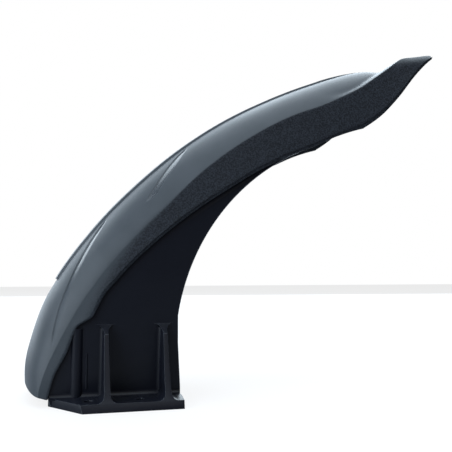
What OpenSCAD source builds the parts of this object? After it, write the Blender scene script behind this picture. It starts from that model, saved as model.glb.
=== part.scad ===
// Front mudguard of an electric scooter, moulded in one piece.
// The wheel axle lies ahead of the bolted base (+X) and the guard arches up over the tyre.
// The origin is the middle of the base's underside. All sizes are in millimetres.

/* [Wheel arch] */
// Distance from the base's origin forward to the wheel axle
axle_x = 168.7; // [160:0.1:176]
// Height of the wheel axle above the base's underside
axle_z = 31.5; // [26:0.5:36]
// Radius of the side walls' inner edge round the axle
arch_r = 140; // [136:0.5:142]

/* [Skin] */
// Thickness of the outer skin
skin_t = 3; // [2.4:0.1:3.4]
// Half width of the skin at its crease
crease_half = 40; // [38:0.5:42]
// How far the flank flares out below the crease
flank_flare = 4; // [2:0.5:6]
// Height of the stepped rim along the flank's lower edge
rim_h = 2; // [1.4:0.1:2.6]
// Height of the stepped rim along the front edge
rim_front_h = 3.4; // [2:0.1:4]
// Depth of the stepped rim
rim_depth = 0.7; // [0.3:0.1:1]
// Angle of the skin's lower end round the axle, below the horizontal
low_end = -8.1; // [-8.6:0.1:-7]
// How much further down the centre of the lower end is cut back, as an angle
low_end_arch = 3.1; // [1:0.1:4]
// Angle of the tip round the axle
tip_end = 102.7; // [101:0.1:103]
// Angle of the corner where the front edge begins
front_corner = 85.7; // [83:0.1:88]

/* [Centre spine] */
// Half width of the raised spine
spine_half = 8; // [5:0.5:11]
// Height of the raised spine
spine_h = 1.3; // [0.6:0.1:2]
// Angle at which the spine starts, with a step
spine_start = 11.6; // [8:0.1:16]
// Angle at which the spine has faded out
spine_stop = 94; // [88:0.5:97]

/* [Side walls] */
// Half width over the outer faces of the side walls
wall_half = 39.4; // [38:0.2:40]
// Thickness of a side wall
wall_t = 3; // [2.4:0.1:3.6]
// Angle round the axle at which the walls run out under the skin
wall_stop = 66; // [60:1:68]

/* [Base] */
// Half width of the base at its underside
base_half = 64; // [61:0.5:66]
// Thickness of the base plate
base_t = 5.5; // [4.5:0.1:7]
// How far the base's outer face leans in over the plate's thickness
base_lean = 2.2; // [1:0.1:3]
// Distance from the origin forward to the base's front face
base_front = 32; // [30.5:0.1:33]
// How much less far forward the base's front corners are
front_slant = 2.2; // [0:0.1:4]
// Distance from the origin back to the start of the slanted corners
base_side_back = 29.5; // [26:0.5:32]
// Distance from the origin back to the base's nose
base_nose_back = 48.2; // [44:0.1:49]
// Half width of the base's nose
nose_half = 38; // [35:0.5:39]
// How far the base's front face leans back over the plate's thickness
front_lean = 0.6; // [0.4:0.1:2]
// How much higher the base's upper face is at the walls than at its outer edge
floor_rise = 3; // [0.5:0.1:4]
// Radius of the fillet between the base and the walls
base_fillet = 1.8; // [1:0.1:3]

/* [Gussets] */
// Place of the rear gusset's back face, from the origin
gusset_rear_x = -15.8; // [-20:0.2:-12]
// Place of the front gusset's back face, from the origin
gusset_front_x = 19.6; // [16:0.2:22]
// Thickness of a gusset at its top
gusset_t = 2.4; // [1.8:0.1:3]
// How much thicker each face of a gusset is at its foot
gusset_draft = 0.6; // [0.2:0.1:1]
// Height of the gussets' tops above the underside
gusset_top = 48; // [44:0.5:54]
// Corner radius at the feet of the gussets
foot_r = 4.3; // [3:0.1:6]
// Corner radius at the tops of the bays
top_r = 5; // [3:0.5:8]
// Radius of the upright fillets where the gussets meet the wall
rib_fillet = 2.4; // [1:0.1:3]

/* [Bolt holes] */
// Diameter of the holes for the bolts
hole_d = 5.5; // [4.2:0.1:6.6]
// Place of the rear pair of holes, from the origin
hole_rear_x = -25; // [-26:0.5:-23]
// Place of the front pair of holes, from the origin
hole_front_x = 5; // [2:0.5:8]
// Distance of the holes from the centre plane
hole_half = 52; // [50:0.5:54]

/* [Column] */
// Place of the shallow round column in the rear bay, from the origin
column_x = -31.4; // [-33:0.2:-30]
// Radius of the column
column_r = 4.2; // [3.4:0.1:5]
// How far the column stands out of the wall
column_out = 1.8; // [1:0.1:2.4]
// Place of the thin ridge beside the column, from the origin
ridge_x = -25.5; // [-27:0.1:-24]

/* [Hidden] */
$fn = 48;

// Guide curves, each a list of [angle round the axle, radius from the axle]
crown_guide = [[-12, 228.6], [-5, 232.2], [-1, 229.4], [3, 226.3], [8, 221.3], [12, 215.9],
    [22, 203.5], [34, 192.3], [46, 185.7], [57, 183], [68, 183.2], [78, 187.1], [84, 191.3],
    [88, 194.7], [92, 197.6], [98, 199.8], [106, 204]];
crease_guide = [[-12, 226], [-5, 223], [5, 205.5], [14, 192], [23, 180], [32, 171.1],
    [45, 165.7], [57, 163.6], [68, 164.2], [78, 166], [92, 176], [106, 186]];
edge_guide = [[-12, 224], [-5, 212.6], [5, 196.4], [14, 181.5], [24, 166.5], [33, 155.9],
    [43, 147.4], [52, 143.2], [62, 140.6], [70, 140], [78, 143], [88, 147.5]];
front_guide = [[80, 141], [85.7, 146.6], [91.2, 156.4], [95.5, 170.6], [98.6, 186],
    [101.8, 201.4], [104, 210.4]];
visor_guide = [[50, 130], [62, 150], [71, 161.5], [79, 167.4], [86, 175], [92, 188],
    [96.2, 200.2], [99, 205], [102, 209.6], [106, 214]];

// Rise of the lower edge where it clears the rear bay
bay_jog = 2.4;
bay_jog_from = 3.6;
bay_jog_to = 5.3;
// Width of the blend between the crown and the flicked visor
visor_blend = 2;
// How far the crease rolls over near the tip
tip_roll = 3.4;
tip_roll_from = 95.6;
tip_roll_to = 101;
tip_roll_power = 6;
// The crease fades into a round shoulder below this range of angles
shoulder_low = 16;
shoulder_high = 34;
// The ledge that joins the flank to the wall ends between these angles
ledge_from = 62;
ledge_to = 68;
spine_edge = 0.5;
spine_fade = 12;
// Below this angle the visor has no part in the skin
visor_from = 55;
// Roundness of the shoulder low down and of the crown higher up
shoulder_round = 0.94;
crown_round = 0.8;
// The edge details shrink where the flank is less deep than this
full_edge_depth = 8;
full_flare_depth = 20;
skin_share = 0.8;
crown_inner = crease_half - skin_t - 0.5;
// Girth from the centre to the skin's edge over which the lower end is arched
end_girth = 57;
end_power = 2.1;
rim_change_from = 79;
rim_change_to = 87;
// Height of the ledge's foot inside the flank
ledge_t = skin_t + 0.6;
ledge_share = 0.6 * skin_t;
// Angle over which the arch of the lower end dies away
end_fade = 9;
station_step = 2.2;
crown_steps = 9;
flank_steps = 3;
corner_steps = 6;
overlap = 1;
far = 200;
fillet_facets = 32;

// The walls' front edges leave the arch at this angle and run down to the base
wall_foot_angle = 8.6;
wall_toe_top = 36;
wall_toe = 1.7;
ridge_r = 0.8;
ridge_out = 0.4;
ridge_gap = 5;
ridge_h = 21;
cavity_half = wall_half - wall_t;
base_top_half = base_half - base_lean;
// Outline of the gussets' sloping outer edge, as [half width, height]
gusset_edge = [[base_top_half, base_t], [56.2, 16], [47.6, 42.6], [wall_half, gusset_top]];

function smooth(lo, hi, x) = let (t = min(1, max(0, (x - lo) / (hi - lo)))) t * t * (3 - 2 * t);
function soft_max(a, b, k) = (a + b + sqrt((a - b) * (a - b) + k * k)) / 2;
function mix(a, b, t) = a + (b - a) * t;

// Smooth curve through a guide's points
function slope(g, i) = i <= 0 ? (g[1][1] - g[0][1]) / (g[1][0] - g[0][0])
    : i >= len(g) - 1 ? (g[i][1] - g[i - 1][1]) / (g[i][0] - g[i - 1][0])
    : (g[i + 1][1] - g[i - 1][1]) / (g[i + 1][0] - g[i - 1][0]);
function span_of(g, a, i = 0) = i >= len(g) - 2 || a < g[i + 1][0] ? i : span_of(g, a, i + 1);
function along(g, a) = let (
    i = span_of(g, a),
    w = g[i + 1][0] - g[i][0],
    t = (a - g[i][0]) / w,
    t2 = t * t,
    t3 = t2 * t)
    (2 * t3 - 3 * t2 + 1) * g[i][1] + (t3 - 2 * t2 + t) * w * slope(g, i)
    + (3 * t2 - 2 * t3) * g[i + 1][1] + (t3 - t2) * w * slope(g, i + 1);

// Radius of the skin's lower and front edge at angle a
function edge_r(a) = a > front_corner ? along(front_guide, a)
    : along(edge_guide, a) + bay_jog * (1 - smooth(bay_jog_from, bay_jog_to, a));

// Radius of the outer surface at angle a and share s of the way from centre to crease
function crown_form(s, a) = mix(
    1 - sqrt(1 - shoulder_round * s * s),
    crown_round * s * s + (1 - crown_round) * pow(s, 4),
    smooth(shoulder_low, shoulder_high, a));
function arch_part(s, a) = along(crown_guide, a)
    - (along(crown_guide, a) - along(crease_guide, a)) * crown_form(s, a) / crown_form(1, a);
function with_visor(s, a) = a < visor_from ? arch_part(s, a)
    : soft_max(arch_part(s, a), along(visor_guide, a), visor_blend);
function outer_r(s, a) = with_visor(s, a)
    - tip_roll * smooth(tip_roll_from, tip_roll_to, a) * pow(s, tip_roll_power);

function spine_rise(a) = a < spine_start ? 0
    : spine_h * (1 - smooth(spine_stop - spine_fade, spine_stop, a));
function depth(a) = outer_r(1, a) - edge_r(a);
function taper(a) = min(1, depth(a) / full_edge_depth);
function skin_at(a) = min(skin_t, skin_share * depth(a));
function flare(a) = flank_flare * min(1, depth(a) / full_flare_depth);
function ledge_in(a) = mix(
    wall_half - wall_t,
    crease_half + flare(a) - skin_t,
    smooth(ledge_from, ledge_to, a));

// Half section at angle a: pairs of [outer point, inner point], each [half width, radius]
crown_shares = [for (i = [1 : crown_steps])
    mix(spine_half + spine_edge, crease_half, i / crown_steps) / crease_half];
function crown_pair(s, a, lift) = let (y = s * crease_half, r = outer_r(s, a))
    [[y, r + lift], [y * (crease_half - skin_t) / crease_half, r - skin_at(a)]];
function rim_at(a) = mix(rim_h, rim_front_h, smooth(rim_change_from, rim_change_to, a)) * taper(a);
function flank_pair(t, a) = let (
    top = outer_r(1, a),
    low = edge_r(a) + rim_at(a),
    in_low = edge_r(a) + ledge_t * taper(a),
    out_y = crease_half + flare(a) * t)
    [[out_y, mix(top, low, t)], [out_y - skin_t, mix(max(top - skin_at(a), in_low), in_low, t)]];
function rim_pairs(a) = let (y = crease_half + flare(a) - rim_depth, r = edge_r(a), h = taper(a))
    [[[y, r + skin_share * rim_at(a)], [ledge_in(a), r + skin_t * h]],
     [[y, r], [ledge_in(a), r]]];
function half_section(a) = concat(
    [crown_pair(0, a, spine_rise(a))],
    [crown_pair(spine_half / crease_half, a, spine_rise(a))],
    [crown_pair((spine_half + spine_edge) / crease_half, a, 0)],
    [for (s = crown_shares) crown_pair(s, a, 0)],
    [for (i = [1 : flank_steps]) flank_pair(i / flank_steps, a)],
    rim_pairs(a));

function girth(a, p) = p[0] + max(0, outer_r(1, a) - p[1]) * smooth(crown_inner, crease_half, p[0]);
function end_shift(a, p) = low_end_arch * (1 - smooth(low_end, low_end + end_fade, a))
    * (1 - pow(min(1, girth(a, p) / end_girth), end_power));
function at_axle(a, side, p) = let (b = a + end_shift(a, p))
    [axle_x - p[1] * cos(b), side * p[0], axle_z + p[1] * sin(b)];
function reversed(v) = [for (i = [len(v) - 1 : -1 : 0]) v[i]];
// Closed ring at angle a: outer points from the left edge to the right, then inner points back
function ring(a) = let (h = half_section(a), n = len(h))
    concat(
        [for (i = [n - 1 : -1 : 1]) at_axle(a, -1, h[i][0])],
        [for (i = [0 : n - 1]) at_axle(a, 1, h[i][0])],
        [for (i = [n - 1 : -1 : 0]) at_axle(a, 1, h[i][1])],
        [for (i = [1 : n - 1]) at_axle(a, -1, h[i][1])]);

function evenly(lo, hi) = let (n = ceil((hi - lo) / station_step))
    [for (i = [0 : n - 1]) mix(lo, hi, i / n)];
// Angles of the rings, with extra ones at the steps and the corner
stations = concat(
    evenly(low_end, bay_jog_from),
    [bay_jog_from, mix(bay_jog_from, bay_jog_to, 0.5)],
    evenly(bay_jog_to, spine_start - 0.2),
    [spine_start - 0.2],
    evenly(spine_start, front_corner - 0.2),
    [front_corner - 0.2],
    evenly(front_corner + 0.1, tip_end),
    [tip_end]);

module skin() {
    n = len(half_section(0)) * 2 - 1;
    m = 2 * n;
    last = len(stations) - 1;
    polyhedron(
        points = [for (a = stations) each ring(a)],
        faces = concat(
            [for (k = [0 : last - 1]) for (i = [0 : m - 1]) for (h = [0, 1])
                let (j = (i + 1) % m, p = k * m, q = (k + 1) * m)
                h == 0 ? [p + i, p + j, q + j] : [p + i, q + j, q + i]],
            [for (i = [0 : n - 2]) for (h = [0, 1])
                let (u = m - 1 - i, v = m - 2 - i)
                h == 0 ? [i, u, i + 1] : [i + 1, u, v]],
            [for (i = [0 : n - 2]) for (h = [0, 1])
                let (b = last * m, u = m - 1 - i, v = m - 2 - i)
                h == 0 ? [b + i, b + i + 1, b + u] : [b + i + 1, b + v, b + u]]),
        convexity = 6);
}

// A plate in the plane of the wheel between two half widths, on the given side
module side_plate(side, near, away) {
    translate([0, side > 0 ? away : -near, 0])
        rotate([90, 0, 0])
            linear_extrude(away - near)
                children();
}

module wall_outline() {
    inner = [for (a = [wall_foot_angle : 2 : wall_stop]) at_wall(arch_r, a)];
    outer = [for (a = [wall_stop : -2 : low_end + 1])
        at_wall(max(arch_r + 0.5, edge_r(a) + ledge_share), a)];
    polygon(concat(
        [[-base_nose_back + overlap, 0], [base_front, 0], [base_front, base_t + floor_rise],
            [base_front - wall_toe, wall_toe_top]],
        inner,
        outer));
}

function at_wall(r, a) = [axle_x - r * cos(a), axle_z + r * sin(a)];

module base_outline() {
    polygon([[base_front, wall_half], [base_front - front_slant, base_half],
        [-base_side_back, base_half], [-base_nose_back, nose_half],
        [-base_nose_back, -nose_half], [-base_side_back, -base_half],
        [base_front - front_slant, -base_half], [base_front, -wall_half]]);
}

// Block beside and under the walls, whose outer faces slope up to the wall
module base_block() {
    intersection() {
        translate([-far, 0, 0])
            rotate([90, 0, 90])
                linear_extrude(2 * far)
                    polygon(concat(
                        [[base_half, 0]],
                        gusset_edge,
                        [for (p = reversed(gusset_edge)) [-p[0], p[1]]],
                        [[-base_half, 0]]));
        linear_extrude(far)
            base_outline();
        side_plate(-1, -far, far)
            polygon([[-far, 0], [base_front, 0], [base_front - front_lean, base_t],
                [base_front - front_lean, far], [-far, far]]);
    }
}

function arc(x, z, r, from) = [for (i = [0 : corner_steps])
    let (t = from + 90 * i / corner_steps) [x + r * cos(t), z + r * sin(t)]];

// Opening of a bay as seen from the side, a little narrower at its foot
module bay_outline(x0, x1) {
    low = base_t + foot_r;
    high = gusset_top - top_r;
    polygon(concat(
        arc(x0 + gusset_draft + foot_r, low, foot_r, 180),
        arc(x1 - gusset_draft - foot_r, low, foot_r, 270),
        arc(x1 - top_r, high, top_r, 0),
        arc(x0 + top_r, high, top_r, 90)));
}

// What a round inner corner leaves standing in the first quadrant
module round_corner(r) {
    difference() {
        translate([-overlap, -overlap])
            square(r + overlap);
        translate([r, r])
            circle(r, $fn = fillet_facets);
    }
}

module bays() {
    for (side = [-1, 1]) side_plate(side, cavity_half, far) {
        bay_outline(-far, gusset_rear_x);
        bay_outline(gusset_rear_x + gusset_t, gusset_front_x);
        bay_outline(gusset_front_x + gusset_t, far);
    }
}

// Hollow between the walls, above the base plate
module cavity() {
    translate([-far, -cavity_half, base_t])
        cube([2 * far, 2 * cavity_half, far]);
}

// Slope of the base's upper face up to the walls, with a fillet along their feet
module base_slopes() {
    for (side = [-1, 1]) intersection() {
        translate([-far, 0, 0])
            rotate([90, 0, 90])
                linear_extrude(2 * far)
                    scale([side, 1]) {
                        polygon([[base_top_half, base_t], [base_top_half, base_t / 2],
                            [wall_half - overlap, base_t / 2],
                            [wall_half - overlap, base_t + floor_rise],
                            [wall_half, base_t + floor_rise]]);
                        translate([wall_half, base_t + floor_rise])
                            round_corner(base_fillet);
                    }
        linear_extrude(far)
            base_outline();
    }
}

// Upright fillets between the gussets and the wall, as [place, direction along X]
module rib_fillets() {
    for (side = [-1, 1]) for (f = [[gusset_rear_x, -1], [gusset_rear_x + gusset_t, 1],
        [gusset_front_x, -1], [gusset_front_x + gusset_t, 1]])
        translate([f[0], side * wall_half, base_t])
            linear_extrude(gusset_top - top_r / 2 - base_t)
                scale([f[1], side])
                    round_corner(rib_fillet);
}

// Shallow column and thin ridge on the wall of the rear bay
module columns() {
    for (side = [-1, 1]) {
        translate([column_x, side * (wall_half + column_out - column_r), base_t / 2])
            cylinder(r = column_r, h = gusset_top - base_t);
        translate([ridge_x, side * (wall_half + ridge_out - ridge_r), base_t + ridge_gap])
            cylinder(r = ridge_r, h = ridge_h, $fn = fillet_facets);
    }
}

module bolt_holes() {
    for (x = [hole_rear_x, hole_front_x]) for (side = [-1, 1])
        translate([x, side * hole_half, -overlap]) cylinder(d = hole_d, h = base_t + floor_rise + 2 * overlap);
}

module mudguard() {
    color([0.16, 0.17, 0.19])
    difference() {
        union() {
            skin();
            for (side = [-1, 1]) side_plate(side, cavity_half, wall_half) wall_outline();
            difference() {
                union() {
                    difference() {
                        base_block();
                        bays();
                    }
                    base_slopes();
                    rib_fillets();
                    columns();
                }
                cavity();
            }
        }
        bolt_holes();
    }
}

mudguard();
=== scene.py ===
import math

import bmesh
import bpy
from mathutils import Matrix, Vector


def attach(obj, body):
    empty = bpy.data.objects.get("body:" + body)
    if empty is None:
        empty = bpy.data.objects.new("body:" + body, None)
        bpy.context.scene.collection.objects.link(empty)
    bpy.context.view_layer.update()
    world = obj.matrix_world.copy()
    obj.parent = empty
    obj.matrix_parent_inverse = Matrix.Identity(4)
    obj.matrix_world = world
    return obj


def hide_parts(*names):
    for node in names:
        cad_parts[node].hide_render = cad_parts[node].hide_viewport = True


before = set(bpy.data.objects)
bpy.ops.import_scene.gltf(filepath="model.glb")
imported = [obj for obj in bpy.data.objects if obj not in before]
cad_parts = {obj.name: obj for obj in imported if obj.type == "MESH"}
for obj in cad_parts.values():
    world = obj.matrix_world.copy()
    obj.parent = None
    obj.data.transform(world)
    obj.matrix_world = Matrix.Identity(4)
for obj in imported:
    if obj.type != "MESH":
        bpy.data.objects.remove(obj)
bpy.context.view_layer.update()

# Lengths in millimetres, as in the CAD model, and angles in degrees round the wheel's axle
# A pair of angles is a zone, over which one state turns into the next
MM = 0.001
AXLE_X = 168.7
AXLE_Z = 31.5
ARCH_R = 140

# Skin: walls, flanks and rim
SKIN_T = 3
SKIN_OF_DEPTH = 0.8
CREASE_HALF = 40
CREASE_ROUND = (2.5, 0.8)
CREASE_SHARPENS = (14, 32)
FLANK_FLARE = 4
FLANK_STEPS = 14
FULL_FLARE_DEPTH = 20
RIM_H = 2
RIM_FRONT_H = 3.4
RIM_GROWS = (79, 87)
RIM_DEPTH = 0.7
RIM_DEEPENS = (5, 22)
RIM_STEP = 0.2
FULL_RIM_DEPTH = 8
LIP_ROUND = 0.35
STEP_ROUND = 0.2
EDGE_ROUND = 0.6
LEDGE_OPENS = (62, 68)
LEDGE_SLOPE = 0.6
LEDGE_LIP = 0.4

# Skin: form of the crown, an ellipse low down and flatter higher up
CROWN_ELLIPSE = 0.94
CROWN_QUARTIC = 0.2
CROWN_CHANGES = (16, 34)

# Skin: low end, which arches up in the middle
LOW_END = -7.1
LOW_END_ARCH = 1.9
END_GIRTH = 45.5
END_POWER = 2.05
END_FADE = 9
GIRTH_BLEND = 0.5
BAY_JOG = 5.5
BAY_JOG_FROM = 4.1
BAY_JOG_TO = 6.6

# Skin: visor and tip
TIP_END = 102.7
FRONT_CORNER = 85.7
TIP_ROLL = 1.5
TIP_ROLLS = (95.6, 101)
TIP_ROLL_POWER = 6
TIP_ROUNDS = (93, 98)
TIP_ROUND = 3.5
TIP_ROUND_H = 7
TIP_CREASE_ROUND = 3
VISOR_FROM = 55
VISOR_RISE = 2.9
VISOR_FLAT = 94
VISOR_REACH = 0.35
VISOR_BLEND = 0.6
VALLEY_DEPTH = 0.7
VALLEY_WIDTH = 1
VALLEY_STARTS = (77, 83)
VALLEY_FADE = 8

# Skin: raised centre spine, with the half widths at which its step is drawn
SPINE_HALF = 8
SPINE_SIDE = (SPINE_HALF - 0.5, SPINE_HALF + 0.4)
SPINE_WIDTHS = (0, 2.5, 5, 7, 7.5, 7.7, 7.9, 8.1, 8.3, 8.5)
SPINE_H = 1.3
SPINE_START = 11.6
SPINE_STOP = 94
SPINE_FADE = 12

# Skin: points across it, from beside the spine to the groove and on to the crease
CROWN_FROM = SPINE_HALF + 1
CROWN_STEPS = 14
SIDE_STEPS = 22
INNER_FLANK = (0, 0.25, 0.5, 0.75, 1)
CREASE_ZONE = 1

# Skin: where its rings lie, and the rounding of its two ends
RING_STEP = 0.5
RING_END_GAP = 0.05
RING_MIN_GAP = 0.02
SPINE_RINGS = (-0.12, -0.04, 0)
CORNER_RINGS = (-0.08, 0, 0.08)
JOG_RINGS = 5
END_ROUND = 0.7
END_ROUND_TURNS = (0.35, 0.8, 1.25, 1.5708)
END_RADIUS = 215
INSET_OF_SKIN = 0.49
INSET_OF_GAP = 0.45

# Side walls, which run into the plate and up behind the skin's edge
WALL_HALF = 39.4
WALL_T = 3
WALL_STOP = 66
WALL_STEP = 1
WALL_FOOT = 0.6
WALL_FOOT_ANGLE = 8.6
WALL_TOE_FOOT = 8.5
WALL_TOE_TOP = 36
WALL_TOE = 1.7
WALL_FRONT_GAP = 0.3
WALL_NOSE_GAP = 1
WALL_LOW_GAP = 1
WALL_LAP = 1.8
WALL_BAND = 0.5
CAVITY_HALF = WALL_HALF - WALL_T

# Bolted base
BASE_HALF = 64
BASE_T = 4.8
BASE_LEAN = 1.9
BASE_FRONT = 32
FRONT_SLANT = 2.2
FRONT_LEAN = 0.6
BASE_SIDE_BACK = 28.7
BASE_NOSE_BACK = 47.5
NOSE_HALF = 36.6
BASE_TOP_HALF = BASE_HALF - BASE_LEAN
GUSSET_REAR_X = -15.8
GUSSET_FRONT_X = 19.6
GUSSET_T = 2.4
GUSSET_DRAFT = 0.6
GUSSET_TOP = 48
FOOT_R = 4.3
TOP_R = 5
HOLE_D = 5.5
HOLE_REAR_X = -25
HOLE_FRONT_X = 5
HOLE_HALF = 52
HOLE_SIDES = 40

# Bends of the gussets' outer edge, as shares of the way out and up from the wall's foot
GUSSET_BENDS = [(0.75, 0.247), (0.366, 0.873)]

# Fillets, column and ridge on the walls; SEAT is how deep they sit in what carries them
SEAT = 0.6
BASE_FILLET = 3
RIB_FILLET = 2.4
FILLET_LAP = 0.3
FILLET_NOSE_GAP = 0.5
FILLET_FRONT_GAP = 0.4
COLUMN_X = -31.4
COLUMN_R = 4.2
COLUMN_OUT = 1.8
COLUMN_SIDES = 48
RIDGE_X = -25.5
RIDGE_R = 0.8
RIDGE_OUT = 0.4
RIDGE_GAP = 5
RIDGE_H = 21
RIDGE_SIDES = 16

# Reach of the solids that cut the base, past what they cut
FAR = 120
BAY_OVER = 5
LEAN_OVER = 9
CUT_LAP = 1
CUT_HALF = 90
CUT_TOP = 90
PLAN_HEIGHTS = (-5, 80)
LEAN_BOTTOM = -2
HOLE_HEIGHTS = (-2, 20)

# Meshes: roundness, softened edges and clean-up, with angles in degrees and distances in metres
CORNER_STEPS = 4
CORNER_SHARE = 0.48
ARC_STEPS = 8
BEVEL_SEGMENTS = 3
WALL_BEVEL = 0.45
WALL_BEVEL_ANGLE = 40
BASE_BEVEL = 0.6
BASE_BEVEL_ANGLE = 24
SKIN_SHARP_ANGLE = 28
SHARP_ANGLE = 30
FLAT_ANGLE = 0.5
SAME_POINT = 2e-6

# Guide curves, each a list of (angle round the axle, radius from the axle)
CROWN_GUIDE = [(-12, 232.5), (-5, 231.5), (-1, 229.7), (3, 226.3), (8, 221.3), (12, 215.9),
    (22, 203.5), (34, 192.3), (46, 185.7), (57, 183), (68, 183.2), (78, 187.1), (84, 191.3),
    (88, 194.7), (92, 197.7), (98, 198.4), (106, 204)]
CREASE_GUIDE = [(-12, 225), (-6, 222.6), (5, 205.5), (14, 192), (23, 180), (32, 171.1),
    (45, 165.7), (57, 163.6), (68, 164.2), (78, 166), (92, 176), (106, 186)]
EDGE_GUIDE = [(-12, 219.5), (-7, 212.5), (-4, 208.3), (-2.6, 205.8), (-1, 202.3), (0.7, 199.4),
    (2.2, 197.8), (4.4, 195.2), (6.3, 192.2), (8.2, 189.9), (10.7, 187.2), (14, 181.5),
    (24, 166.5), (33, 155.9), (43, 147.4), (52, 143.2), (62, 140.6), (70, 140), (78, 143),
    (88, 147.5)]
FRONT_GUIDE = [(80, 141), (85.7, 146.6), (91.2, 156.4), (95.5, 170.6), (98.6, 186),
    (101.8, 201.4), (104, 210.4)]
VISOR_GUIDE = [(50, 130), (62, 150), (71, 161.5), (79, 167.4), (86, 175), (92, 188),
    (96.2, 200.2), (99, 205), (102, 209.6), (106, 214)]

# Arrow grooves, each a list of (angle, half width of the steep side, half width of the flush side)
LONG_GROOVE = [(0.6, 38, 38.7), (2.3, 36.2, 38.8), (4.8, 33.8, 37.4), (7.4, 31.5, 35.6),
    (10.2, 28.8, 32.7), (13, 25.6, 30), (15.5, 22.6, 27.4), (17.7, 19.4, 24.5),
    (19.9, 16, 21.2), (22, 13.2, 18), (24.6, 10.8, 13.5)]
SHORT_GROOVE = [(30.2, 29.9, 30.7), (31.6, 28.6, 31.2), (33.1, 27.1, 31.6), (35, 25, 29.6),
    (37.3, 22.2, 27.2), (39.2, 19.6, 25.3), (41, 17.2, 23.3), (43.1, 14.3, 19.8),
    (46.2, 11.2, 13.4)]
LONG_GROOVE_DEPTH = 0.75
SHORT_GROOVE_DEPTH = 0.65
GROOVE_WALL = 0.3
GROOVE_WALL_SHARE = 0.4
GROOVE_EDGE = 0.2
GROOVE_END = 1.2
GROOVE_FLOOR = (0.33, 0.67)

# Where the skin is grained: on the flank, up to a line that rises to the crease
GRAIN_FROM_HALF = 30
GRAIN_LOW = 0.5
GRAIN_OVER_CREASE = 0.4
GRAIN_RISES = (-2, 29)
GRAIN_SOFT = (4, 0.4)
GRAIN_SHARPENS = (20, 40)
GRAIN_TIP_DROP = 5
GRAIN_TIP_SOFT = 2.5
INSIDE_GRAIN = 0.5

# Where the skin is polished: on the floor of the grooves, a little less in the short pair
POLISH_RISES = (11, 16)
POLISH_FADES = (26, 30)
POLISH_LOSS = 0.2
POLISH_INSET = 0.1
POLISH_OVER = 0.01

# Colours of the finishes, each with its paler shade; the edge colours are a painted highlight
SATIN = (0.029, 0.036, 0.044)
SATIN_PALE = (0.036, 0.043, 0.052)
GRAINED = (0.006, 0.0075, 0.011)
GRAINED_PALE = (0.020, 0.024, 0.032)
SMOOTH = (0.0045, 0.0055, 0.0095)
SMOOTH_PALE = (0.0065, 0.0075, 0.013)
# Painted highlight: the walls' rounded edges are coloured far paler than the walls, standing in for light
# along them
EDGE_HIGHLIGHT = (0.05, 0.06, 0.075)
EDGE_HIGHLIGHT_PALE = (0.08, 0.09, 0.11)

# Textures, each noise as (scale, detail, roughness), and the middle of a noise's range
SKIN_BROAD = (60, 3, 0.5)
SKIN_FINE = (1500, 2, 0.6)
SKIN_PEBBLE = (1050, 1, 0.5)
WALL_BROAD = (45, 3, 0.5)
WALL_FINE = (1100, 2, 0.6)
BROAD_MIDDLE = (0.35, 0.65)
FINE_MIDDLE = (0.3, 0.7)
PEBBLE_MIDDLE = (0.38, 0.62)

# Skin's surface, with bump distances in metres
SKIN_ROUGHNESS = (0.4, 0.48)
GRAIN_ROUGHER = 0.1
POLISH_SMOOTHER = 0.22
SKIN_SHINE = (0.28, 0.8)
GRAIN_DULLER = 0.1
SKIN_FINE_BUMP = 0.3
SKIN_BUMP = 0.55
SKIN_BUMP_DISTANCE = 0.00022
WALL_BUMP_DISTANCE = 0.0001

# Stage in metres, with shares of full brightness
FLOOR_HALF = 3
FLOOR_FOR_LIGHT = (0.32, 0.32, 0.33, 1)
FLOOR_FOR_CAMERA = (0.85, 0.85, 0.86, 1)
FLOOR_GLOW = 0.8
ROOM_COLOUR = (0.93, 0.96, 1, 1)
ROOM_LIGHT = 0.1
WHITE = (1, 1, 1, 1)

# Lamps in metres, each as (name, place, size, radiance, colour)
LAMP_AIM = (0.05, 0, 0.12)
COOL = (0.80, 0.91, 1)
NEUTRAL = (1, 1, 1)
SOFT_BOXES = [
    ("back_soft", (0.15, 1.3, 0.75), (3.2, 1.7), 2.8, COOL),
    ("back_high", (0.65, 0.9, 1.1), (1.2, 0.9), 2.6, COOL),
    ("top_soft", (0, -0.1, 1.5), (1.6, 1.9), 2.2, COOL),
    ("left_soft", (-1.2, -0.45, 0.6), (2.0, 1.2), 4.1, COOL),
    ("front_fill", (0.25, -1.2, 0.95), (0.9, 0.5), 1.1, NEUTRAL)]

# Camera in metres; the focal length was fitted in pixels of a square picture
CAMERA_PLACE = (-0.04607, -0.44291, 0.08041)
CAMERA_WAY = (0.2562, 0.9642, 0.0687)
CAMERA_NEAR = 0.01
SENSOR_MM = 36
FOCAL_PIXELS = 650.02
PICTURE_PIXELS = 452

ROOT = "root"
NODE = "mudguard"


def smooth(lo, hi, x):
    """Soft step from 0 at lo to 1 at hi; lo may be the larger."""
    t = min(1, max(0, (x - lo) / (hi - lo)))
    return t * t * (3 - 2 * t)


def mix(a, b, t):
    return a + (b - a) * t


def soft_max(a, b, k):
    """The larger of two lengths, rounded where they are closer than about k."""
    return (a + b + math.sqrt((a - b) ** 2 + k * k)) / 2


def spread(lo, hi, n):
    """n even values from lo, short of hi."""
    return [mix(lo, hi, i / n) for i in range(n)]


def steps(lo, hi, step):
    """Even values from lo to hi, both with, about a step apart."""
    n = max(1, round(abs(hi - lo) / step))
    return [mix(lo, hi, i / n) for i in range(n + 1)]


def circle(x, y, r, n):
    turns = [2 * math.pi * k / n for k in range(n)]
    return [(x + r * math.cos(t), y + r * math.sin(t)) for t in turns]


def arc(x, z, r, start):
    """A quarter turn round a centre, from the start angle on."""
    turns = [math.radians(start + 90 * i / ARC_STEPS) for i in range(ARC_STEPS + 1)]
    return [(x + r * math.cos(t), z + r * math.sin(t)) for t in turns]


def slope(guide, i):
    lo = max(i - 1, 0)
    hi = min(i + 1, len(guide) - 1)
    return (guide[hi][1] - guide[lo][1]) / (guide[hi][0] - guide[lo][0])


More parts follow.
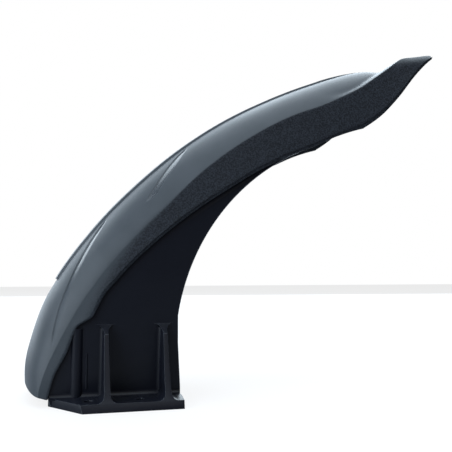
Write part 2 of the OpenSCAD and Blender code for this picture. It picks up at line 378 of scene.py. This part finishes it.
def along(guide, a):
    """Smooth curve through a guide's points."""
    i = 0
    while i < len(guide) - 2 and a >= guide[i + 1][0]:
        i += 1
    w = guide[i + 1][0] - guide[i][0]
    t = (a - guide[i][0]) / w
    t2 = t * t
    t3 = t2 * t
    return ((2 * t3 - 3 * t2 + 1) * guide[i][1] + (t3 - 2 * t2 + t) * w * slope(guide, i)
        + (3 * t2 - 2 * t3) * guide[i + 1][1] + (t3 - t2) * w * slope(guide, i + 1))


def straight(table, a, k):
    """Straight lines through column k of a table sorted by its first column."""
    if a <= table[0][0]:
        return table[0][k]
    for p, q in zip(table, table[1:]):
        if a <= q[0]:
            return mix(p[k], q[k], (a - p[0]) / (q[0] - p[0]))
    return table[-1][k]


def rounded(path, corners):
    """The path with some corners rounded; corners maps an index to a radius."""
    out = []
    for i, p in enumerate(path):
        if i not in corners:
            out.append(p)
            continue
        p = Vector(p)
        a = Vector(path[i - 1]) - p
        b = Vector(path[i + 1]) - p
        u = p + a.normalized() * min(corners[i], CORNER_SHARE * a.length)
        v = p + b.normalized() * min(corners[i], CORNER_SHARE * b.length)
        for k in range(CORNER_STEPS + 1):
            t = k / CORNER_STEPS
            out.append(tuple((1 - t) ** 2 * u + 2 * t * (1 - t) * p + t * t * v))
    return out


def resample(path, n):
    """n points spread over a path by length, its ends kept."""
    seg = [math.dist(p, q) for p, q in zip(path, path[1:])]
    total = sum(seg)
    out = []
    for k in range(n):
        want = total * k / max(1, n - 1)
        i = 0
        while i < len(seg) - 1 and want > seg[i]:
            want -= seg[i]
            i += 1
        t = min(1, want / seg[i]) if seg[i] else 0
        out.append((mix(path[i][0], path[i + 1][0], t), mix(path[i][1], path[i + 1][1], t)))
    return out


def edge_r(a):
    """Radius of the skin's lower edge, and past the front corner of its front edge."""
    if a > FRONT_CORNER:
        return along(FRONT_GUIDE, a)
    return along(EDGE_GUIDE, a) + BAY_JOG * (1 - smooth(BAY_JOG_FROM, BAY_JOG_TO, a))


def crown_form(s, a):
    """Fall of the crown at share s of the way from the centre to the crease."""
    low = 1 - math.sqrt(1 - CROWN_ELLIPSE * s * s)
    high = (1 - CROWN_QUARTIC) * s * s + CROWN_QUARTIC * s ** 4
    return mix(low, high, smooth(*CROWN_CHANGES, a))


def visor_r(s, a):
    """Radius of the flicked visor, which falls toward the crease where it isn't flat yet."""
    rise = max(0, VISOR_FLAT - a) * VISOR_RISE * VISOR_REACH * (1 - math.exp((s - 1) / VISOR_REACH))
    return along(VISOR_GUIDE, a) + rise


def outer_r(s, a):
    """Radius of the outer face at share s of the way from the centre to the crease."""
    crown = along(CROWN_GUIDE, a)
    crease = along(CREASE_GUIDE, a)
    r = crown - (crown - crease) * crown_form(s, a) / crown_form(1, a)
    if a >= VISOR_FROM:
        visor = visor_r(s, a)
        valley = VALLEY_DEPTH * math.exp(-((r - visor) / VALLEY_WIDTH) ** 2)
        valley *= smooth(*VALLEY_STARTS, a) * smooth(VISOR_FLAT, VISOR_FLAT - VALLEY_FADE, a)
        r = soft_max(r, visor, VISOR_BLEND) - valley
    return r - TIP_ROLL * smooth(*TIP_ROLLS, a) * s ** TIP_ROLL_POWER


def spine_rise(a):
    if a < SPINE_START:
        return 0
    return SPINE_H * (1 - smooth(SPINE_STOP - SPINE_FADE, SPINE_STOP, a))


def depth(a):
    """Depth of the flank, from the crease to the edge."""
    return outer_r(1, a) - edge_r(a)


def taper(a):
    return min(1, depth(a) / FULL_RIM_DEPTH)


def skin_at(a):
    return min(SKIN_T, SKIN_OF_DEPTH * depth(a))


def flare(a):
    return FLANK_FLARE * min(1, depth(a) / FULL_FLARE_DEPTH)


def rim_at(a):
    return mix(RIM_H, RIM_FRONT_H, smooth(*RIM_GROWS, a)) * taper(a)


def rim_in(a):
    return RIM_DEPTH * smooth(*RIM_DEEPENS, a)


def ledge_in(a):
    """Half width of the ledge's inner side: at the wall, and open past the wall's end."""
    return mix(CAVITY_HALF, CREASE_HALF + flare(a) - SKIN_T, smooth(*LEDGE_OPENS, a))


def groove_sides(a):
    """Half widths of a groove's steep and flush sides at angle a, and its depth there."""
    long_end = LONG_GROOVE[-1]
    short_start = SHORT_GROOVE[0]
    if long_end[0] < a < short_start[0]:
        t = smooth(long_end[0], short_start[0], a)
        return mix(long_end[1], short_start[1], t), mix(long_end[2], short_start[2], t), 0
    groove, full = SHORT_GROOVE, SHORT_GROOVE_DEPTH
    if a <= long_end[0]:
        groove, full = LONG_GROOVE, LONG_GROOVE_DEPTH
    start, end = groove[0][0], groove[-1][0]
    sunk = full * smooth(start, start + GROOVE_END, a) * smooth(end, end - GROOVE_END, a)
    return straight(groove, a, 1), straight(groove, a, 2), sunk


def crown_points(a):
    """Outer face from the centre to short of the crease, as (half width, radius)."""
    lift = spine_rise(a)
    out = []
    for y in SPINE_WIDTHS:
        out.append((y, outer_r(y / CREASE_HALF, a) + lift * (1 - smooth(*SPINE_SIDE, y))))
    deep, flush, sunk = groove_sides(a)
    wall = min(GROOVE_WALL, GROOVE_WALL_SHARE * (flush - deep))
    widths = spread(CROWN_FROM, deep - GROOVE_EDGE, CROWN_STEPS)
    widths += [deep - GROOVE_EDGE, deep, deep + wall]
    widths += [mix(deep + wall, flush, t) for t in GROOVE_FLOOR]
    widths += spread(flush, CREASE_HALF, SIDE_STEPS)
    for y in widths:
        share = max(0, min((y - deep) / wall, (flush - y) / (flush - deep - wall)))
        out.append((y, outer_r(min(1, y / CREASE_HALF), a) - sunk * share))
    return out


def outer_path(a):
    """Outer face at angle a, from the centre over the crease and the rim to the ledge."""
    tip = smooth(*TIP_ROUNDS, a)
    tuck = TIP_ROUND * tip
    path = [(y * (CREASE_HALF - tuck) / CREASE_HALF, r) for y, r in crown_points(a)]
    corners = {len(path): mix(mix(*CREASE_ROUND, smooth(*CREASE_SHARPENS, a)), TIP_CREASE_ROUND, tip)}
    top = outer_r(1, a)
    low = edge_r(a) + rim_at(a)
    path.append((CREASE_HALF - tuck, top))
    for i in range(1, FLANK_STEPS):
        r = mix(top, low, i / FLANK_STEPS)
        near = max(0, 1 - (top - r) / TIP_ROUND_H)
        path.append((CREASE_HALF + flare(a) * i / FLANK_STEPS - tuck * near ** 2, r))
    lip = CREASE_HALF + flare(a)
    rim = lip - rim_in(a)
    for y, r, rounding in ((lip, low, LIP_ROUND), (rim, low - RIM_STEP * rim_at(a), STEP_ROUND),
            (rim, edge_r(a), EDGE_ROUND)):
        corners[len(path)] = rounding
        path.append((y, r))
    path.append((mix(rim, ledge_in(a), 0.5), edge_r(a)))
    return rounded(path, corners)


def inner_path(a, outer):
    """Inner face under an outer path, point for point: under the crown, then down the flank."""
    top = outer_r(1, a)
    under = []
    for y, r in outer:
        if y > CREASE_HALF or r < top - CREASE_ZONE:
            break
        under.append((y * (CREASE_HALF - SKIN_T) / CREASE_HALF,
            outer_r(min(1, y / CREASE_HALF), a) - skin_at(a)))
    low = edge_r(a) + (SKIN_T + LEDGE_SLOPE) * taper(a)
    high = max(top - skin_at(a), low)
    path = [(CREASE_HALF + flare(a) * t - SKIN_T, mix(high, low, t)) for t in INNER_FLANK]
    path += [(ledge_in(a), edge_r(a) + SKIN_T * taper(a)), (ledge_in(a), edge_r(a) + LEDGE_LIP)]
    return under + resample(path, len(outer) - len(under))


def end_shift(a, y, r):
    """Degrees by which the low end's middle lies above its corners; it fades out up the skin."""
    girth = y + max(0, outer_r(1, a) - r) * smooth(CREASE_HALF - SKIN_T - GIRTH_BLEND, CREASE_HALF, y)
    return (LOW_END_ARCH * (1 - smooth(LOW_END, LOW_END + END_FADE, a))
        * (1 - min(1, girth / END_GIRTH) ** END_POWER))


def at_skin(a, side, y, r):
    """A point of the skin in metres."""
    b = math.radians(a + end_shift(a, y, r))
    return (MM * (AXLE_X - r * math.cos(b)), MM * side * y, MM * (AXLE_Z + r * math.sin(b)))


def at_wall(r, a):
    """A point (x, z) of the wall's outline in millimetres."""
    return (AXLE_X - r * math.cos(math.radians(a)), AXLE_Z + r * math.sin(math.radians(a)))


def make_object(name, verts, faces):
    mesh = bpy.data.meshes.new(name)
    mesh.from_pydata(verts, [], faces)
    mesh.validate()
    obj = bpy.data.objects.new(name, mesh)
    bpy.context.scene.collection.objects.link(obj)
    return obj


def outward(obj):
    """Turns the faces so that their normals point outward."""
    bm = bmesh.new()
    bm.from_mesh(obj.data)
    bmesh.ops.recalc_face_normals(bm, faces=bm.faces)
    bm.to_mesh(obj.data)
    bm.free()


def finish_mesh(obj, angle):
    """Outward normals, smooth shading and sharp edges above the angle."""
    outward(obj)
    obj.data.shade_smooth()
    obj.data.set_sharp_from_angle(angle=math.radians(angle))


def bevel(obj, width, angle):
    """Rounds the sharp edges; the rounds take the second of the wall's finishes, a painted highlight far
    paler than the wall.
    """
    for finish in WALL_FINISH_AND_EDGE_HIGHLIGHT:
        obj.data.materials.append(finish)
    m = obj.modifiers.new("soft_edges", "BEVEL")
    m.width = width * MM
    m.segments = BEVEL_SEGMENTS
    m.limit_method = "ANGLE"
    m.angle_limit = math.radians(angle)
    m.miter_outer = "MITER_ARC"
    m.material = 1


def apply_modifiers(obj):
    deps = bpy.context.evaluated_depsgraph_get()
    mesh = bpy.data.meshes.new_from_object(obj.evaluated_get(deps))
    obj.modifiers.clear()
    obj.data = mesh


def cut_with(obj, tools, operation):
    """Cuts or keeps what the tools cover, and removes the tools."""
    for tool in tools:
        outward(tool)
        m = obj.modifiers.new("cut", "BOOLEAN")
        m.operation = operation
        m.solver = "EXACT"
        m.object = tool
    apply_modifiers(obj)
    for tool in tools:
        bpy.data.objects.remove(tool)


def loft(name, rings):
    """A closed solid through rings of points in millimetres."""
    n = len(rings[0])
    verts = [(MM * x, MM * y, MM * z) for ring in rings for x, y, z in ring]
    faces = [tuple(range(n)), tuple(len(verts) - 1 - i for i in range(n))]
    for k in range(len(rings) - 1):
        p, q = k * n, (k + 1) * n
        faces += [(p + i, p + (i + 1) % n, q + (i + 1) % n, q + i) for i in range(n)]
    return make_object(name, verts, faces)


def side_plate(name, outline, y0, y1):
    """A plate in the wheel's plane between two half widths; outline in (x, z)."""
    return loft(name, [[(x, y, z) for x, z in outline] for y in (y0, y1)])


def upright(name, outline, z0, z1):
    """A solid between two heights; outline in (x, y)."""
    return loft(name, [[(x, y, z) for x, y in outline] for z in (z0, z1)])


def skin_stations():
    """Angles of the skin's rings, closer at the spine's start, the jog and the front corner."""
    out = [TIP_END]
    a = LOW_END
    while a < TIP_END - RING_END_GAP:
        out.append(a)
        a += RING_STEP
    out += [SPINE_START + d for d in SPINE_RINGS]
    out += [FRONT_CORNER + d for d in CORNER_RINGS]
    out += [mix(BAY_JOG_FROM, BAY_JOG_TO, i / JOG_RINGS) for i in range(JOG_RINGS + 1)]
    out = sorted(out)
    return [a for i, a in enumerate(out) if i == 0 or a - out[i - 1] > RING_MIN_GAP]


def skin_plan():
    """Each ring as (angle, inset of its faces); the insets round the skin's two ends."""
    plan = [(a, 0) for a in skin_stations()[2:-2]]
    for end, way in ((LOW_END, 1), (TIP_END, -1)):
        turn = way * math.degrees(END_ROUND / END_RADIUS)
        arcs = [(end + turn * (1 - math.sin(t)), END_ROUND * (1 - math.cos(t))) for t in END_ROUND_TURNS]
        plan = arcs[::-1] + plan if way > 0 else plan + arcs
    return plan


def drawn_in(a, outer, inner, inset):
    """Both faces moved toward each other by the inset, as far as the skin lets them."""
    inset = min(inset, INSET_OF_SKIN * skin_at(a))
    out = []
    for p, q in zip(outer, inner):
        p, q = Vector(p), Vector(q)
        gap = q - p
        move = gap.normalized() * min(inset, INSET_OF_GAP * gap.length)
        out.append((p + move, q - move))
    return [p for p, q in out], [q for p, q in out]


def in_ring(outer, inner):
    """Half a section's values in a closed ring's order: near side, far side and back inside."""
    return outer[:0:-1] + outer + inner[::-1] + inner[1:]


def grain_at(a, outer):
    """Share of the grained finish at each point of the outer face."""
    tip = smooth(*TIP_ROUNDS, a)
    reach = mix(GRAIN_LOW, depth(a) + GRAIN_OVER_CREASE, smooth(*GRAIN_RISES, a)) - GRAIN_TIP_DROP * tip
    soft = mix(*GRAIN_SOFT, smooth(*GRAIN_SHARPENS, a)) + GRAIN_TIP_SOFT * tip
    edge = edge_r(a)
    return [smooth(reach + soft, reach - soft, r - edge) if y > GRAIN_FROM_HALF else 0 for y, r in outer]


def polish_at(a, outer):
    """Share of the polished finish at each point of the outer face."""
    deep, flush, sunk = groove_sides(a)
    gloss = smooth(0, SHORT_GROOVE_DEPTH, sunk) * smooth(*POLISH_RISES, a)
    gloss *= 1 - POLISH_LOSS * smooth(*POLISH_FADES, a)
    return [gloss if deep + POLISH_INSET < y < flush + POLISH_OVER else 0 for y, r in outer]


def skin_faces(rows, m):
    """Faces between rings of m points, and strips that close the first and the last ring."""
    faces = []
    for k in range(rows - 1):
        p, q = k * m, (k + 1) * m
        faces += [(p + i, p + (i + 1) % m, q + (i + 1) % m, q + i) for i in range(m)]
    last = (rows - 1) * m
    for i in range(m // 2 - 1):
        faces.append((i, m - 1 - i, m - 2 - i, i + 1))
        faces.append((last + i, last + i + 1, last + m - 2 - i, last + m - 1 - i))
    return faces


def build_skin():
    """The skin as one closed mesh, with its grain and polish kept on its points."""
    verts = []
    shares = {"grain": [], "polish": []}
    plan = skin_plan()
    for a, inset in plan:
        outer = outer_path(a)
        inner = inner_path(a, outer)
        n = len(outer)
        sides = [-1] * (n - 1) + [1] * (2 * n) + [-1] * (n - 1)
        points = in_ring(*drawn_in(a, outer, inner, inset))
        verts += [at_skin(a, side, *p) for side, p in zip(sides, points)]
        shares["grain"] += in_ring(grain_at(a, outer), [INSIDE_GRAIN] * n)
        shares["polish"] += in_ring(polish_at(a, outer), [0] * n)
    obj = make_object("guard_skin", verts, skin_faces(len(plan), len(sides)))
    for name, values in shares.items():
        attr = obj.data.attributes.new(name, "FLOAT", "POINT")
        attr.data.foreach_set("value", values)
    finish_mesh(obj, SKIN_SHARP_ANGLE)
    return obj


def wall_outline():
    """The side wall in (x, z): its foot, its toe, the arch and back under the skin's edge."""
    front = BASE_FRONT - WALL_FRONT_GAP
    pts = [(WALL_NOSE_GAP - BASE_NOSE_BACK, WALL_FOOT), (front, WALL_FOOT), (front, WALL_TOE_FOOT),
        (BASE_FRONT - WALL_TOE, WALL_TOE_TOP)]
    pts += [at_wall(ARCH_R, a) for a in steps(WALL_FOOT_ANGLE, WALL_STOP, WALL_STEP)]
    for a in steps(WALL_STOP, LOW_END + WALL_LOW_GAP, WALL_STEP):
        pts.append(at_wall(max(ARCH_R + WALL_BAND, edge_r(a) + WALL_LAP), a))
    return pts


def build_wall(name, side):
    obj = side_plate(name, wall_outline(), side * CAVITY_HALF, side * WALL_HALF)
    outward(obj)
    bevel(obj, WALL_BEVEL, WALL_BEVEL_ANGLE)
    apply_modifiers(obj)
    finish_mesh(obj, SHARP_ANGLE)
    return obj


def base_outline():
    """The plate from above in (x, y), with slanted corners at the back."""
    half = [(BASE_FRONT, WALL_HALF), (BASE_FRONT - FRONT_SLANT, BASE_HALF),
        (-BASE_SIDE_BACK, BASE_HALF), (-BASE_NOSE_BACK, NOSE_HALF)]
    return half + [(x, -y) for x, y in half[::-1]]


def base_profile():
    """Plate and gussets seen along the object, in (y, z)."""
    half = [(BASE_HALF, 0), (BASE_TOP_HALF, BASE_T)]
    for out, up in GUSSET_BENDS:
        half.append((mix(WALL_HALF, BASE_TOP_HALF, out), mix(BASE_T, GUSSET_TOP, up)))
    half.append((WALL_HALF, GUSSET_TOP))
    return half + [(-y, z) for y, z in half[::-1]]


def bays(back, front, lap):
    """Back and front of the three bays beside the gussets, each lapping into its gussets."""
    return [(back, GUSSET_REAR_X + lap), (GUSSET_REAR_X + GUSSET_T - lap, GUSSET_FRONT_X + lap),
        (GUSSET_FRONT_X + GUSSET_T - lap, front)]


def bay_outline(x0, x1):
    """A bay from the side in (x, z), narrower at its foot and round in its corners."""
    low = BASE_T + FOOT_R
    high = GUSSET_TOP - TOP_R
    return (arc(x0 + GUSSET_DRAFT + FOOT_R, low, FOOT_R, 180)
        + arc(x1 - GUSSET_DRAFT - FOOT_R, low, FOOT_R, 270)
        + arc(x1 - TOP_R, high, TOP_R, 0)
        + arc(x0 + TOP_R, high, TOP_R, 90))


def base_cutters():
    """Solids that clear the bays, the wheel's space between the walls and the bolt holes."""
    inner = WALL_HALF - CUT_LAP
    tools = []
    for side in (-1, 1):
        for x0, x1 in bays(-FAR - BAY_OVER, FAR + BAY_OVER, 0):
            tools.append(side_plate("bay", bay_outline(x0, x1), side * (BASE_HALF + CUT_LAP), side * inner))
    floor = [(-CUT_HALF, -inner), (CUT_HALF, -inner), (CUT_HALF, inner), (-CUT_HALF, inner)]
    tools.append(upright("hollow", floor, BASE_T, CUT_TOP))
    for side in (-1, 1):
        for x in (HOLE_REAR_X, HOLE_FRONT_X):
            ring = circle(x, side * HOLE_HALF, HOLE_D / 2, HOLE_SIDES)
            tools.append(upright("hole", ring, *HOLE_HEIGHTS))
    return tools


def clean_up(obj):
    """Joins points that coincide and removes edges in flat faces."""
    bm = bmesh.new()
    bm.from_mesh(obj.data)
    bmesh.ops.remove_doubles(bm, verts=bm.verts, dist=SAME_POINT)
    bmesh.ops.dissolve_limit(bm, angle_limit=math.radians(FLAT_ANGLE), verts=bm.verts, edges=bm.edges)
    bm.to_mesh(obj.data)
    bm.free()


def build_base():
    """The plate with its gussets: a long profile, kept inside the outline and cut free."""
    profile = base_profile()
    block = loft("bolted_base", [[(x, y, z) for y, z in profile] for x in (-FAR, FAR)])
    outward(block)
    plan = upright("plan", base_outline(), *PLAN_HEIGHTS)
    back = -FAR - LEAN_OVER
    top_front = BASE_FRONT - FRONT_LEAN
    lean = side_plate("lean", [(back, LEAN_BOTTOM), (BASE_FRONT, LEAN_BOTTOM), (BASE_FRONT, 0),
        (top_front, BASE_T), (top_front, CUT_TOP), (back, CUT_TOP)], -CUT_HALF, CUT_HALF)
    cut_with(block, [plan, lean], "INTERSECT")
    cut_with(block, base_cutters(), "DIFFERENCE")
    clean_up(block)
    bevel(block, BASE_BEVEL, BASE_BEVEL_ANGLE)
    apply_modifiers(block)
    finish_mesh(block, SHARP_ANGLE)
    return block


def corner_strip(r):
    """Concave fillet section as (out, up) offsets from a corner."""
    pts = [(-SEAT, -SEAT), (r, -SEAT)]
    for i in range(ARC_STEPS + 1):
        t = math.radians(270 - 90 * i / ARC_STEPS)
        pts.append((r + r * math.cos(t), r + r * math.sin(t)))
    pts.append((-SEAT, r))
    return pts


def foot_fillets(side):
    """Fillets between the plate and the wall, one in each bay."""
    strip = corner_strip(BASE_FILLET)
    back = FILLET_NOSE_GAP - BASE_NOSE_BACK
    front = BASE_FRONT - FRONT_LEAN - FILLET_FRONT_GAP
    parts = []
    for span in bays(back, front, FILLET_LAP):
        rings = [[(x, side * (WALL_HALF + u), BASE_T + v) for u, v in strip] for x in span]
        parts.append(loft("foot_fillet", rings))
    return parts


def rib_fillets(side):
    """Fillets between the gussets and the wall, further out at the foot by the draft."""
    strip = corner_strip(RIB_FILLET)
    heights = ((BASE_T, GUSSET_DRAFT), (GUSSET_TOP - TOP_R / 2, 0))
    parts = []
    for start in (GUSSET_REAR_X, GUSSET_FRONT_X):
        for x, way in ((start, -1), (start + GUSSET_T, 1)):
            rings = [[(x + way * (u + draft), side * (WALL_HALF + v), z) for u, v in strip]
                for z, draft in heights]
            parts.append(loft("rib_fillet", rings))
    return parts


def wall_bar(side, x, r, out, z0, z1, n):
    """A round upright bar that stands out of the wall."""
    ring = circle(x, WALL_HALF + out - r, r, n)
    return upright("wall_bar", [(u, side * max(v, CAVITY_HALF + SEAT)) for u, v in ring], z0, z1)


def build_details():
    """Fillets, columns and ridges of both walls, joined in one mesh."""
    parts = []
    ridge_foot = BASE_T + RIDGE_GAP
    for side in (-1, 1):
        parts += foot_fillets(side)
        parts += rib_fillets(side)
        parts.append(wall_bar(side, COLUMN_X, COLUMN_R, COLUMN_OUT, BASE_T / 2, GUSSET_TOP - BASE_T / 2,
            COLUMN_SIDES))
        parts.append(wall_bar(side, RIDGE_X, RIDGE_R, RIDGE_OUT, ridge_foot, ridge_foot + RIDGE_H,
            RIDGE_SIDES))
    bm = bmesh.new()
    for part in parts:
        outward(part)
        bm.from_mesh(part.data)
        bpy.data.objects.remove(part)
    obj = make_object("wall_details", [], [])
    bm.to_mesh(obj.data)
    bm.free()
    finish_mesh(obj, SHARP_ANGLE)
    return obj


def new_material(name):
    mat = bpy.data.materials.new(name)
    mat.use_nodes = True
    nodes = mat.node_tree.nodes
    return mat, nodes, mat.node_tree.links, nodes["Principled BSDF"]


def noise(nodes, links, coords, scale, detail, rough):
    n = nodes.new("ShaderNodeTexNoise")
    n.inputs["Scale"].default_value = scale
    n.inputs["Detail"].default_value = detail
    n.inputs["Roughness"].default_value = rough
    links.new(coords, n.inputs["Vector"])
    return n.outputs["Fac"]


def ranged(nodes, links, value, lo, hi, out_lo, out_hi):
    n = nodes.new("ShaderNodeMapRange")
    n.inputs["From Min"].default_value = lo
    n.inputs["From Max"].default_value = hi
    n.inputs["To Min"].default_value = out_lo
    n.inputs["To Max"].default_value = out_hi
    links.new(value, n.inputs["Value"])
    return n.outputs["Result"]


def maths(nodes, links, op, a, b):
    """A sum, difference or product of two values, each a number or a node's output."""
    n = nodes.new("ShaderNodeMath")
    n.operation = op
    for socket, v in zip(n.inputs, (a, b)):
        if isinstance(v, (int, float)):
            socket.default_value = v
        else:
            links.new(v, socket)
    return n.outputs["Value"]


def attribute(nodes, name):
    n = nodes.new("ShaderNodeAttribute")
    n.attribute_name = name
    return n.outputs["Fac"]


def colour_mix(nodes, links, fac, a, b):
    """Mix of two colours, each a colour of three numbers or a node's output."""
    n = nodes.new("ShaderNodeMix")
    n.data_type = "RGBA"
    for socket, v in ((n.inputs[6], a), (n.inputs[7], b)):
        if isinstance(v, tuple):
            socket.default_value = (*v, 1)
        else:
            links.new(v, socket)
    links.new(fac, n.inputs[0])
    return n.outputs[2]


def add_bump(nodes, links, shader, height, strength, distance):
    bump = nodes.new("ShaderNodeBump")
    bump.inputs["Strength"].default_value = strength
    bump.inputs["Distance"].default_value = distance
    links.new(height, bump.inputs["Height"])
    links.new(bump.outputs["Normal"], shader.inputs["Normal"])


def shader_mix(nodes, links, fac, a, b):
    """Mix of two shaders by a share, or by a node's output."""
    n = nodes.new("ShaderNodeMixShader")
    if isinstance(fac, float):
        n.inputs["Fac"].default_value = fac
    else:
        links.new(fac, n.inputs["Fac"])
    links.new(a, n.inputs[1])
    links.new(b, n.inputs[2])
    return n.outputs[0]


def skin_material():
    """Satin on the crown, grained on the flanks and polished in the grooves."""
    mat, nodes, links, shader = new_material("satin_moulded_skin")
    place = nodes.new("ShaderNodeTexCoord").outputs["Object"]
    grain = attribute(nodes, "grain")
    polish = attribute(nodes, "polish")
    broad = noise(nodes, links, place, *SKIN_BROAD)
    fine = noise(nodes, links, place, *SKIN_FINE)
    pebble = noise(nodes, links, place, *SKIN_PEBBLE)
    satin_share = ranged(nodes, links, broad, *BROAD_MIDDLE, 0, 1)
    grained_share = ranged(nodes, links, pebble, *PEBBLE_MIDDLE, 0, 1)
    satin = colour_mix(nodes, links, satin_share, SATIN, SATIN_PALE)
    grained = colour_mix(nodes, links, grained_share, GRAINED, GRAINED_PALE)
    links.new(colour_mix(nodes, links, grain, satin, grained), shader.inputs["Base Color"])

    rough = ranged(nodes, links, fine, *FINE_MIDDLE, *SKIN_ROUGHNESS)
    rough = maths(nodes, links, "ADD", rough, maths(nodes, links, "MULTIPLY", grain, GRAIN_ROUGHER))
    rough = maths(nodes, links, "SUBTRACT", rough, maths(nodes, links, "MULTIPLY", polish, POLISH_SMOOTHER))
    links.new(rough, shader.inputs["Roughness"])

    shine = ranged(nodes, links, polish, 0, 1, *SKIN_SHINE)
    shine = maths(nodes, links, "SUBTRACT", shine, maths(nodes, links, "MULTIPLY", grain, GRAIN_DULLER))
    links.new(shine, shader.inputs["Specular IOR Level"])

    height = maths(nodes, links, "ADD", maths(nodes, links, "MULTIPLY", fine, SKIN_FINE_BUMP),
        maths(nodes, links, "MULTIPLY", grain, pebble))
    add_bump(nodes, links, shader, height, SKIN_BUMP, SKIN_BUMP_DISTANCE)
    return mat


def wall_finish(name, colours, roughness, shine, bump, waves):
    """A smooth moulded finish; waves weighs the broad unevenness against the fine."""
    mat, nodes, links, shader = new_material(name)
    place = nodes.new("ShaderNodeTexCoord").outputs["Object"]
    broad = noise(nodes, links, place, *WALL_BROAD)
    fine = noise(nodes, links, place, *WALL_FINE)
    links.new(colour_mix(nodes, links, broad, *colours), shader.inputs["Base Color"])
    links.new(ranged(nodes, links, fine, *FINE_MIDDLE, *roughness), shader.inputs["Roughness"])
    shader.inputs["Specular IOR Level"].default_value = shine
    height = maths(nodes, links, "ADD", fine, maths(nodes, links, "MULTIPLY", broad, waves))
    add_bump(nodes, links, shader, height, bump, WALL_BUMP_DISTANCE)
    return mat


def wall_finish_and_edge_highlight():
    """The walls' finish, and a glossier one for their rounded edges, painted far paler as a highlight."""
    wall = wall_finish("smooth_moulded_wall", (SMOOTH, SMOOTH_PALE), roughness=(0.31, 0.38), shine=0.2,
        bump=0.14, waves=4)
    # The edge finish's pale colour is a painted highlight along the rounded edges
    edge = wall_finish("painted_edge_highlight", (EDGE_HIGHLIGHT, EDGE_HIGHLIGHT_PALE), roughness=(0.3, 0.36), shine=0.6, bump=0.1,
        waves=0)
    return [wall, edge]


def dress(obj, finishes):
    if not obj.data.materials:
        for finish in finishes:
            obj.data.materials.append(finish)
    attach(obj, ROOT)
    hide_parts(NODE)


def build_floor():
    """Nearly white to the camera, with the object's shadow, and darker to everything else."""
    h = FLOOR_HALF
    floor = make_object("floor", [(-h, -h, 0), (h, -h, 0), (h, h, 0), (-h, h, 0)], [(0, 1, 2, 3)])
    mat = bpy.data.materials.new("pale_floor")
    mat.use_nodes = True
    nodes, links = mat.node_tree.nodes, mat.node_tree.links
    nodes.remove(nodes["Principled BSDF"])
    plain = nodes.new("ShaderNodeBsdfDiffuse")
    plain.inputs["Color"].default_value = FLOOR_FOR_LIGHT
    pale = nodes.new("ShaderNodeBsdfDiffuse")
    pale.inputs["Color"].default_value = FLOOR_FOR_CAMERA
    glow = nodes.new("ShaderNodeEmission")
    glow.inputs["Strength"].default_value = 1
    lit = shader_mix(nodes, links, FLOOR_GLOW, pale.outputs[0], glow.outputs[0])
    seen = nodes.new("ShaderNodeLightPath").outputs["Is Camera Ray"]
    mixed = shader_mix(nodes, links, seen, plain.outputs[0], lit)
    links.new(mixed, nodes["Material Output"].inputs["Surface"])
    floor.data.materials.append(mat)


def build_room():
    """White to the camera, and dim to everything else."""
    world = bpy.data.worlds.new("studio")
    bpy.context.scene.world = world
    world.use_nodes = True
    nodes, links = world.node_tree.nodes, world.node_tree.links
    dim = nodes["Background"]
    dim.inputs["Color"].default_value = ROOM_COLOUR
    dim.inputs["Strength"].default_value = ROOM_LIGHT
    white = nodes.new("ShaderNodeBackground")
    white.inputs["Color"].default_value = WHITE
    white.inputs["Strength"].default_value = 1
    seen = nodes.new("ShaderNodeLightPath").outputs["Is Camera Ray"]
    mixed = shader_mix(nodes, links, seen, dim.outputs[0], white.outputs[0])
    links.new(mixed, nodes["World Output"].inputs["Surface"])


def soft_box(name, place, size, radiance, colour):
    """A rectangular lamp of even brightness."""
    data = bpy.data.lights.new(name, "AREA")
    data.shape = "RECTANGLE"
    data.size, data.size_y = size
    data.energy = radiance * math.pi * size[0] * size[1]
    data.color = colour
    obj = bpy.data.objects.new(name, data)
    obj.location = place
    obj.rotation_euler = (Vector(LAMP_AIM) - Vector(place)).to_track_quat("-Z", "Y").to_euler()
    bpy.context.scene.collection.objects.link(obj)


def build_camera():
    cam = bpy.data.cameras.new("camera")
    cam.sensor_width = SENSOR_MM
    cam.lens = SENSOR_MM * FOCAL_PIXELS / PICTURE_PIXELS
    cam.clip_start = CAMERA_NEAR
    obj = bpy.data.objects.new("camera", cam)
    bpy.context.scene.collection.objects.link(obj)
    obj.location = CAMERA_PLACE
    obj.rotation_euler = Vector(CAMERA_WAY).to_track_quat("-Z", "Y").to_euler()
    bpy.context.scene.camera = obj


WALL_FINISH_AND_EDGE_HIGHLIGHT = wall_finish_and_edge_highlight()
skin = build_skin()
walls = [build_wall("side_wall_near", -1), build_wall("side_wall_far", 1)]
base = build_base()
details = build_details()
dress(skin, [skin_material()])
for part in walls + [base, details]:
    dress(part, WALL_FINISH_AND_EDGE_HIGHLIGHT)
build_floor()
build_room()
for box in SOFT_BOXES:
    soft_box(*box)
build_camera()
bpy.context.scene.view_settings.view_transform = "Standard"
